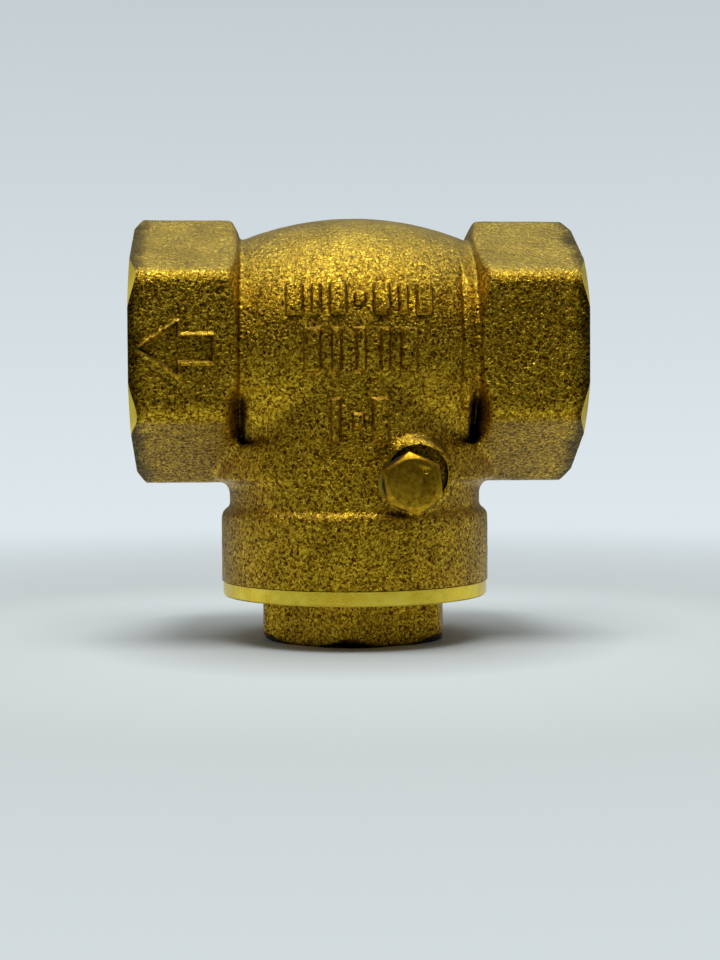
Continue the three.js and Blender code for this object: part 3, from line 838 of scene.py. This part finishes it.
def makeHanger():
    h = hanger
    outline = [(-h["half"], 0), (h["half"], 0), (h["half"], h["knuckle"] * 0.6)]
    for step in range(1, 13):  # the plate narrows on a curve from the knuckle to the eye
        t = step / 12
        x = (1 - t) ** 2 * h["half"] + 2 * t * (1 - t) * h["eye"] * 0.9 + t * t * h["eye"]
        z = (1 - t) ** 2 * h["knuckle"] * 0.6 + 2 * t * (1 - t) * h["knuckle"] * 1.6 + t * t * discReach
        outline.append((x, z))
    for step in range(1, 24):
        angle = math.pi * step / 24
        outline.append((h["eye"] * math.cos(angle), discReach + h["eye"] * math.sin(angle)))
    outline += [(-x, z) for x, z in reversed(outline[2:15])]
    arm = extrude("hanger", outline, h["back"], h["front"], forgedBrass)
    place(arm, Matrix(((0, 0, 1, 0), (1, 0, 0, 0), (0, 1, 0, 0), (0, 0, 0, 1))))
    knuckle = lathe("knuckle", [(h["knuckle"], -h["half"]), (h["knuckle"], h["half"])], forgedBrass, 64, "Y")
    combine(arm, [knuckle], "UNION")
    forge(arm, 0.14, 6)
    pinHole = lathe("pinHole", [(h["hole"], -9), (h["hole"], 9)], turnedBrass, 64, "Y")
    eye = lathe("eye", [(h["eyeHole"], -9), (h["eyeHole"], 9)], turnedBrass, 64, "X")
    combine(arm, [pinHole, place(eye, Matrix.Translation((0, 0, discReach)))])
    return finishPiece(place(arm, atClapper), "hanger", ["hanger"])


def makeDiscHolder():
    d = disc
    profile = [(d["stud"], d["studBack"]), (d["stud"], d["back"]), (d["radius"], d["back"]),
               (d["radius"], d["rim"]), (d["recess"], d["rim"]), (d["recess"], d["plate"]),
               (d["stud"], d["plate"]), (d["stud"], d["studFront"])]
    piece = bevel(lathe("discHolder", profile, turnedBrass, 128), 0.18)
    return finishPiece(place(piece, alongDisc), "disc", ["disc_holder"])


def makeWasher(name, bore, radius, back, front, material, node, edge=0.15):
    profile = [(bore, back), (radius, back), (radius, front), (bore, front)]
    piece = bevel(lathe(name, profile, material, 128, closed=True), edge)
    return finishPiece(place(piece, alongDisc), "disc", [node])


def makeNut(name, back, front, node):
    flats, bore = nutSize["flats"], nutSize["bore"]
    inner, outer = flats / 2 - 0.1, flats / math.sqrt(3) + 0.3
    drop = (outer - inner) * nutSize["slope"]
    nut = extrude(name, hexagon(flats, 0.1, 2), back, front, turnedBrass)
    chamfer = lathe("chamfer", [(inner, back), (outer, back + drop), (outer, front - drop), (inner, front)],
                    turnedBrass, 96)
    combine(nut, [chamfer], "INTERSECT")
    combine(nut, [lathe("hole", [(bore, back - 1), (bore, front + 1)], turnedBrass, 64)])
    return finishPiece(place(bevel(nut, 0.06, 2, 25), alongDisc), "disc", [node])


makeHanger()
makeDiscHolder()
makeWasher("seatDisc", 1.7, 7.95, 1.25, 3.25, rubber, "seat_disc", 0.25)
makeWasher("seatDiscWasher", 1.6, 4.5, 3.3, 4.0, turnedBrass, "seat_disc_washer")
makeWasher("hangerWasher", 1.6, 3.0, -3.15, -2.65, stainless, "hanger_washer", 0.1)
makeNut("seatDiscNut", 4.05, 5.3, "seat_disc_nut")
makeNut("hangerNut", -4.8, -3.2, "hanger_nut")
print("clapper ready")


# the two glow colours are painted light given off by the paper floor
studio = {"floor": "#d6dddd", "ringGlow": "#7c8487", "farGlow": "#575d5f", "backdropLow": "#dee7ec",
          "backdropHigh": "#c0cacf", "floorRadius": 1.2, "floorFadeFrom": 0.04, "floorFadeTo": 0.2}
camera = {"x": 0.61, "distance": 162.2, "height": 22.08, "yaw": 3.65, "pitch": -1.82, "roll": -0.3,
          "focalLength": 49.757, "sensorHeight": 32.0}


def makeFloor():
    mesh = bmesh.new()
    bmesh.ops.create_circle(mesh, cap_ends=True, segments=96, radius=studio["floorRadius"])
    floor = newPiece("floor", mesh, None)
    floor.data.materials.clear()
    material, tree, output, position = startMaterial("paperSweep")
    # Matt white paper that fades into the backdrop, so no horizon shows
    distance = addNode(tree, "VectorMath", {0: position}, operation="LENGTH")
    share = addNode(tree, "MapRange", {"Value": distance.outputs["Value"],
                                       "From Min": studio["floorFadeFrom"],
                                       "From Max": studio["floorFadeTo"]},
                    interpolation_type="SMOOTHSTEP")
    # painted light: the paper glows, strongest in a ring round the valve's shadow, which lifts that shadow
    nearby = addNode(tree, "MapRange", {"Value": distance.outputs["Value"], "From Max": 0.06})
    glow = addNode(tree, "ValToRGB", {"Fac": nearby.outputs["Result"]},
                   [(0.2, "#000000"), (0.5, studio["ringGlow"]), (1.0, studio["farGlow"])])
    paper = addNode(tree, "BsdfPrincipled", {
        "Base Color": hexColour(studio["floor"]), "Roughness": 0.85,
        "Emission Color": glow.outputs["Color"], "Emission Strength": 1.0})
    clear = addNode(tree, "BsdfTransparent")
    mixed = addNode(tree, "MixShader", {"Fac": share.outputs["Result"], 1: paper.outputs["BSDF"],
                                        2: clear.outputs["BSDF"]})
    tree.links.new(mixed.outputs["Shader"], output.inputs["Surface"])
    floor.data.materials.append(material)
    floor.location.z = -0.00002


def makeWorld():
    world = bpy.data.worlds.new("studio")
    bpy.context.scene.world = world
    world.use_nodes = True
    tree = world.node_tree
    tree.nodes.clear()
    direction = addNode(tree, "TexCoord").outputs["Generated"]
    split = addNode(tree, "SeparateXYZ", {"Vector": direction})
    # What the camera sees: a pale sweep, a little darker higher up
    rise = addNode(tree, "MapRange", {"Value": split.outputs["Z"], "From Min": -0.05, "From Max": 0.32})
    seen = addNode(tree, "ValToRGB", {"Fac": rise.outputs["Result"]},
                   [(0.0, studio["backdropLow"]), (1.0, studio["backdropHigh"])])
    # What the metal mirrors: bright overhead, at the sides and behind, dark towards the camera
    height = addNode(tree, "MapRange", {"Value": split.outputs["Z"], "From Min": -1.0})
    room = addNode(tree, "ValToRGB", {"Fac": height.outputs["Result"]},
                   [(0.0, "#8f9396"), (0.42, "#a9aeb2"), (0.62, "#8d9194"), (0.8, "#cdd1d4"),
                    (0.9, "#ffffff")])
    shade = addNode(tree, "MapRange", {"Value": split.outputs["Y"], "From Min": -0.7, "From Max": 0.3,
                                       "To Min": 0.015, "To Max": 1.1}, interpolation_type="SMOOTHSTEP")
    mirrored = addNode(tree, "Mix", {"Factor": 1.0, "A": room.outputs["Color"], "B": shade.outputs["Result"]},
                       data_type="RGBA", blend_type="MULTIPLY")
    backdrop = addNode(tree, "Background", {"Color": seen.outputs["Color"], "Strength": 1.0})
    walls = addNode(tree, "Background", {"Color": mirrored.outputs["Result"], "Strength": 0.5})
    sight = addNode(tree, "LightPath").outputs["Is Camera Ray"]
    mixed = addNode(tree, "MixShader", {"Fac": sight, 1: walls.outputs["Background"],
                                        2: backdrop.outputs["Background"]})
    output = addNode(tree, "OutputWorld")
    tree.links.new(mixed.outputs["Shader"], output.inputs["Surface"])


def addLight(name, position, size, power, target=(0, 0, 0.02)):
    data = bpy.data.lights.new(name, "AREA")
    data.shape = "RECTANGLE"
    data.size, data.size_y = size
    data.energy = power
    lamp = bpy.data.objects.new(name, data)
    lamp.location = position
    lamp.rotation_euler = (Vector(target) - Vector(position)).to_track_quat("-Z", "Y").to_euler()
    bpy.context.scene.collection.objects.link(lamp)


def makeCamera():
    c = camera
    data = bpy.data.cameras.new("camera")
    data.sensor_fit = "VERTICAL"
    data.sensor_width = 24.0
    data.sensor_height = c["sensorHeight"]
    data.lens = c["focalLength"]
    data.clip_start = 0.005
    data.clip_end = 20
    eye = bpy.data.objects.new("camera", data)
    # The camera is measured against the valve before the valve's own small turn, so it is turned back with it
    yaw, pitch, roll = (math.radians(c[name]) for name in ("yaw", "pitch", "roll"))
    level = Matrix.Translation((c["x"] * mm, -c["distance"] * mm, c["height"] * mm))
    aim = Matrix.Rotation(math.pi / 2 + pitch, 4, "X") @ Matrix.Rotation(roll, 4, "Z")
    eye.matrix_world = Matrix.Rotation(-yaw, 4, "Z") @ level @ aim
    bpy.context.scene.collection.objects.link(eye)
    bpy.context.scene.camera = eye


makeFloor()
makeWorld()
addLight("overhead", (0.0, -0.12, 0.42), (0.26, 0.16), 0.93)
addLight("left", (-0.4, 0.08, 0.12), (0.3, 0.3), 0.12)
addLight("right", (0.4, 0.08, 0.12), (0.3, 0.3), 0.12)
makeCamera()
scene = bpy.context.scene
scene.view_settings.view_transform = "Standard"
print("studio ready")
